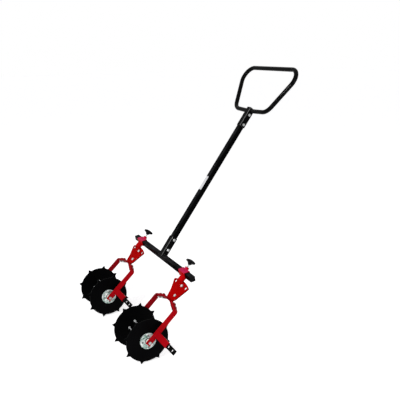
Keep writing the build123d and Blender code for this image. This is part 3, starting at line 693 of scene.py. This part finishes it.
# Leg bolts, swivel bolts and their nuts: hexagon bolts of forged steel with bright zinc.
# The nuts were on when the fork was sprayed, so a coat of its red, darker than on the legs, lies over their
# plating.
nut_red = (0.2, 0.001, 0.003, 1)
nut_steel = (0.16, 0.15, 0.14, 1)
nut_enamel = enamel(
    "nut_enamel", nut_red, gloss=0.36, reflect=0.1, primer=nut_steel, wear=0.6,
    dust=0.03, haze=soil_dust, drift=0.2,
)
for side in sides:
    finish_in(bolt_zinc, f"{side}_swivel_bolts", f"{side}_leg_bolts")
    finish_in(nut_enamel, f"{side}_fork_nuts")

# Axle bolts, nuts and sleeves: one long bolt with dull zinc clamps a thick drawn-steel sleeve between
# the legs, and pale nylon bushes turn on that sleeve.
drawn_steel = plated("drawn_steel", bright=(0.42, 0.42, 0.43, 1), clouded=(0.3, 0.3, 0.3, 1), polish=0.36)
pale_nylon = (0.72, 0.7, 0.64, 1)
white_scuff = (0.8, 0.79, 0.75, 1)
nylon = moulded("nylon", pale_nylon, dullness=0.45, reflect=0.4, scuff=white_scuff, wear=0.2)
for side in sides:
    finish_in(dull_zinc, f"{side}_axle_bolt", f"{side}_axle_nut")
    finish_in(drawn_steel, f"{side}_axle_sleeve")
    finish_in(nylon, f"{side}_bushes")

# Hub tubes and flanges: a black tube with a turned plate near each end, which has a raised round rim.
# The plates are welded to the tube outside the discs, and have a mottle of bright white and green zinc that
# also paints in reflections.
worn_black = (0.008, 0.008, 0.008, 1)
tool_black = enamel(
    "tool_black", black_paint, gloss=0.42, reflect=0.015, primer=worn_black, wear=0.3,
    dust=0.05, haze=grey_dust_and_sheen, drift=0.3,
)
white_zinc_glare = (0.97, 1.0, 0.99, 1)
green_zinc_reflection = (0.1, 0.26, 0.2, 1)
# The white and green mottle is partly zinc tone and partly painted reflection.
flange_zinc = plated("flange_zinc", white_zinc_glare, green_zinc_reflection, polish=0.4, grain=85, metal=0.35)
tube_radius = 0.0168
clear_of_flange = 0.12
for side in sides:
    finish_in(tool_black, f"{side}_hub_tube")
    finish_in(flange_zinc, f"{side}_hub_flanges")
    for hand_name, hand in hands:
        beside_hub = axles[side] + hand * clear_of_flange * crosswise
        starts = ring(beside_hub, up_fork, fork_front, tube_radius, count=40)
        spots = seam(f"{side}_hub_flanges", starts, -hand * crosswise)
        weld(f"{side}_hub_{hand_name}_weld", spots, f"{side}_roller", flange_zinc, bead=0.002)

# Toothed discs: cut from plate with eight flared teeth, bored for the hub tube and four bolts.
# They have the same thin, dull black paint as the hub tubes.
for side in sides:
    finish_in(tool_black, f"{side}_disc_socket_side", f"{side}_disc_plain_side")

# Hub bolts and nuts: four on each disc, through the flange, with long threaded tails between the discs.
# Their zinc is painted a bright white as a painted glint, and the faces that look along the axle are
# darker.
glint_white_zinc = (0.88, 0.89, 0.89, 1)
darker_end = (0.08, 0.09, 0.085, 1)
darker_end_cloud = (0.12, 0.14, 0.13, 1)
# The bright white zinc is a painted glint; faces that look along the axle are darker.
hub_zinc = plated("hub_zinc", glint_white_zinc, glint_white_zinc, metal=0.6)
for layer, soiled in (("Bright", darker_end), ("Clouded", darker_end_cloud)):
    two_tone(hub_zinc, layer, crosswise, glint_white_zinc, soiled, low=0.6, high=0.9, both_ways=True)
for side in sides:
    finish_in(hub_zinc, f"{side}_hub_bolts", f"{side}_hub_nuts")

# Side sockets: flat tubes that butt square against one leg of each fork, welded all round.
# They have the red enamel of that leg.
socket_half_width = 0.0143
socket_half_depth = 0.0048
socket_level = 0.048
clear_of_leg = 0.2
for side in sides:
    finish_in(leg_enamel, f"{side}_side_socket")
    middle = axles[side] + socket_level * up_fork + clear_of_leg * crosswise
    half_width = socket_half_width * up_fork
    half_depth = socket_half_depth * fork_front
    starts = box_round(middle, half_width, half_depth, first_count=15, second_count=6)
    spots = seam(f"{side}_socket_leg", starts, -crosswise)
    weld(f"{side}_socket_weld", spots, f"{side}_fork", leg_enamel, bead=0.002)

# Side bars: flat bars with a row of drilled holes, which slide in the sockets.
# They have the same dull black paint as the discs.
for side in sides:
    finish_in(tool_black, f"{side}_side_bar")

# Studio: a pale floor under the lowest teeth and a white surround that shows as plain white.
# One soft lamp stands in front, and a wider one beside the camera.
floor_level = cad_box[0][2]
floor_glow = 0.52
bpy.ops.object.select_all(action="DESELECT")
bpy.ops.mesh.primitive_plane_add(size=60, location=(0, 0, floor_level))
floor = bpy.context.active_object
floor.name = "floor"
floor_paint, tree, shader = new_finish("floor_paint")
shader.inputs["Base Color"].default_value = (0.92, 0.92, 0.92, 1)
shader.inputs["Roughness"].default_value = 0.9
shader.inputs["Specular IOR Level"].default_value = 0.1
glow = tree.nodes.new("ShaderNodeEmission")


def seen_rays(tree):
    """1 for rays that show a surface, and 0 for those that only light one."""
    rays = tree.nodes.new("ShaderNodeLightPath").outputs
    clear = compute(tree, "MAXIMUM", rays["Is Camera Ray"], rays["Is Transmission Ray"])
    return compute(tree, "MAXIMUM", clear, rays["Is Glossy Ray"])


tree.links.new(compute(tree, "MULTIPLY", seen_rays(tree), floor_glow), glow.inputs["Strength"])
lit = tree.nodes.new("ShaderNodeAddShader")
tree.links.new(shader.outputs["BSDF"], lit.inputs[0])
tree.links.new(glow.outputs["Emission"], lit.inputs[1])
tree.links.new(lit.outputs["Shader"], tree.nodes["Material Output"].inputs["Surface"])
floor.data.materials.append(floor_paint)

grey_light = (0.5, 0.5, 0.51, 1)
plain_white = (1, 1, 1, 1)
world = bpy.data.worlds.new("studio")
bpy.context.scene.world = world
world.use_nodes = True
tree = world.node_tree
surround = blend_colour(tree, seen_rays(tree), grey_light, plain_white)
tree.links.new(surround, tree.nodes["Background"].inputs["Color"])


def soft_lamp(name, place, aim, size, watts):
    lamp = bpy.data.lights.new(name, "AREA")
    lamp.shape = "SQUARE"
    lamp.size = size
    lamp.energy = watts
    stand = bpy.data.objects.new(name, lamp)
    bpy.context.collection.objects.link(stand)
    stand.location = place
    stand.rotation_euler = (Vector(aim) - Vector(place)).to_track_quat("-Z", "Y").to_euler()


over_crossbar = (0, 0, 0.1)
soft_lamp("front_lamp", (1.4, -2.5, 1.8), over_crossbar, size=0.3, watts=58)
soft_lamp("right_lamp", (2.7, 0.4, 1.5), over_crossbar, size=1.2, watts=20)

camera = bpy.data.cameras.new("camera")
camera.lens = 49.5
camera.sensor_width = 36
view_point = bpy.data.objects.new("camera", camera)
bpy.context.collection.objects.link(view_point)
view_point.location = (2.356, -1.0505, 0.987)
view_point.rotation_euler = (math.radians(74.82), math.radians(0.17), math.radians(61.72))
bpy.context.scene.camera = view_point
bpy.context.scene.view_settings.view_transform = "Standard"
